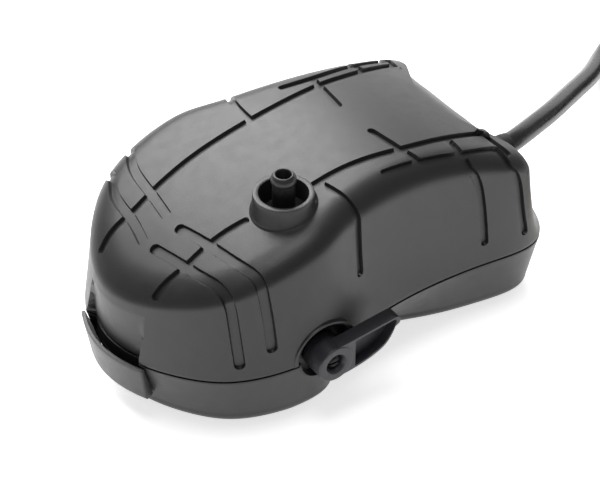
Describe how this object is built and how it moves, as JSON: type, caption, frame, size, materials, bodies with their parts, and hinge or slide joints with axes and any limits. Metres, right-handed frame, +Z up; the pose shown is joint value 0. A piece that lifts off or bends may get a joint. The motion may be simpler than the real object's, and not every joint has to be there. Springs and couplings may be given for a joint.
{
  "type": "aquarium air pump",
  "caption": "Small black aquarium air pump: humped two-shell casing, barbed outlet in a flared cup, tear-drop flow lever, front intake, coiled mains cord with plug.",
  "frame": {"origin": "centre of the box of the pump without its cord, at the level of the feet's undersides", "axes": "+Z up, -Y towards the air intake at the front, +X towards the flow lever, +Y towards the cord at the rear"},
  "size_m": [0.1115, 0.2666, 0.055],
  "materials": {
    "black_shell": "fine satin grain",
    "black_gloss": "smooth gloss",
    "black_rubber": "matte",
    "cord_pvc": "soft gloss",
    "white_nylon": "satin",
    "felt": "matte fibres",
    "copper_wire": "enamelled",
    "steel": "zinc plated",
    "dark_steel": "dull laminations",
    "black_steel": "blackened",
    "brass": "polished"
  },
  "bodies": {
    "casing": {"upper_casing": "black_shell", "base_tray": "black_shell", "intake_cover": "black_shell", "outlet_nozzle": "black_shell", "plug_body": "black_gloss", "foot_front_left": "black_rubber", "foot_front_right": "black_rubber", "foot_rear_left": "black_rubber", "foot_rear_right": "black_rubber", "spindle_seal": "black_rubber", "outlet_hose": "black_rubber", "diaphragm": "black_rubber", "arm_pivot_block": "black_rubber", "cord_grommet": "black_rubber", "cord_tie": "black_rubber", "mains_cord": "cord_pvc", "cord_tail": "cord_pvc", "cord_coil": "cord_pvc", "regulator_body": "white_nylon", "pump_chamber": "white_nylon", "valve_cap": "white_nylon", "arm_bracket": "white_nylon", "coil_bobbin": "white_nylon", "core_bracket": "white_nylon", "cord_clamp": "white_nylon", "intake_filter": "felt", "coil_winding": "copper_wire", "lead_live": "copper_wire", "lead_neutral": "copper_wire", "casing_screw_1": "steel", "casing_screw_2": "steel", "casing_screw_3": "steel", "casing_screw_4": "steel", "stator_core": "dark_steel", "plug_pin_live": "brass", "plug_pin_neutral": "brass"},
    "lever": {"flow_lever": "black_gloss", "lever_screw": "black_steel", "regulator_spindle": "white_nylon"},
    "armature": {"armature_arm": "steel", "arm_magnet": "dark_steel", "diaphragm_disc": "white_nylon", "diaphragm_washer": "steel", "diaphragm_screw": "steel"},
    "inlet_flap_body": {"inlet_flap": "black_rubber"},
    "outlet_flap_body": {"outlet_flap": "black_rubber"}
  },
  "joints": [
    {"name": "lever_turn", "type": "hinge", "parent": "casing", "child": "lever", "pos_m": [0.0334, -0.01555, 0.01685], "axis": [1, 0, 0], "range_deg": [-20, 70]},
    {"name": "arm_swing", "type": "hinge", "parent": "casing", "child": "armature", "pos_m": [-0.0188, 0.01435, 0.017], "axis": [0, 0, 1], "range_deg": [-1.5, 1.5], "stiffness_Nm_per_rad": 0.2},
    {"name": "inlet_flap_lift", "type": "hinge", "parent": "casing", "child": "inlet_flap_body", "pos_m": [-0.0133, -0.00505, 0.021], "axis": [1, 0, 0], "range_deg": [0, 15], "stiffness_Nm_per_rad": 0.00002},
    {"name": "outlet_flap_lift", "type": "hinge", "parent": "casing", "child": "outlet_flap_body", "pos_m": [-0.0033, -0.00765, 0.021], "axis": [-1, 0, 0], "range_deg": [0, 15], "stiffness_Nm_per_rad": 0.00002}
  ]
}
